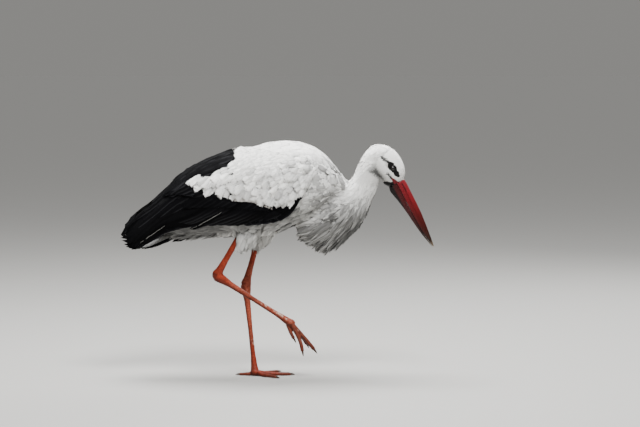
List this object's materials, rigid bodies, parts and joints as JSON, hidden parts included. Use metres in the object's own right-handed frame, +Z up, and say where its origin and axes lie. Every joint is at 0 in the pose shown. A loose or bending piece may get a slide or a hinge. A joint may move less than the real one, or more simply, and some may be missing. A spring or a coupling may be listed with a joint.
{
  "type": "white stork model",
  "caption": "Life-size still model of a long-legged wading bird in mid-stride, standing on one foot with the other lifted, neck lowered and bill pointing down.",
  "frame": {"origin": "on the floor, on the flat sole of the standing foot's palm", "axes": "+X forward, the way the bird walks; +Y towards the bird's left; +Z up"},
  "size_m": [0.7201, 0.1938, 0.544],
  "materials": {
    "white_plumage": "matt white feathers",
    "black_plumage": "glossy black feathers",
    "red_horn": "satin red horn",
    "red_skin": "matt scaled red skin",
    "claw": "dusky horn",
    "eye": "wet gloss"
  },
  "bodies": {
    "root": {"bill_lower": "red_horn", "bill_upper": "red_horn", "claw_hind_left": "claw", "claw_hind_right": "claw", "claw_inner_left": "claw", "claw_inner_right": "claw", "claw_middle_left": "claw", "claw_middle_right": "claw", "claw_outer_left": "claw", "claw_outer_right": "claw", "eye_left": "eye", "eye_right": "eye", "head": "white_plumage", "neck": "white_plumage", "shank_left": "red_skin", "shank_right": "red_skin", "tail": "white_plumage", "tarsus_left": "red_skin", "tarsus_right": "red_skin", "thigh_left": "white_plumage", "thigh_right": "white_plumage", "toe_hind_left": "red_skin", "toe_hind_right": "red_skin", "toe_inner_left": "red_skin", "toe_inner_right": "red_skin", "toe_middle_left": "red_skin", "toe_middle_right": "red_skin", "toe_outer_left": "red_skin", "toe_outer_right": "red_skin", "trunk": "white_plumage", "wing_left_coverts": "white_plumage", "wing_left_flight": "black_plumage", "wing_right_coverts": "white_plumage", "wing_right_flight": "black_plumage"}
  },
  "joints": []
}
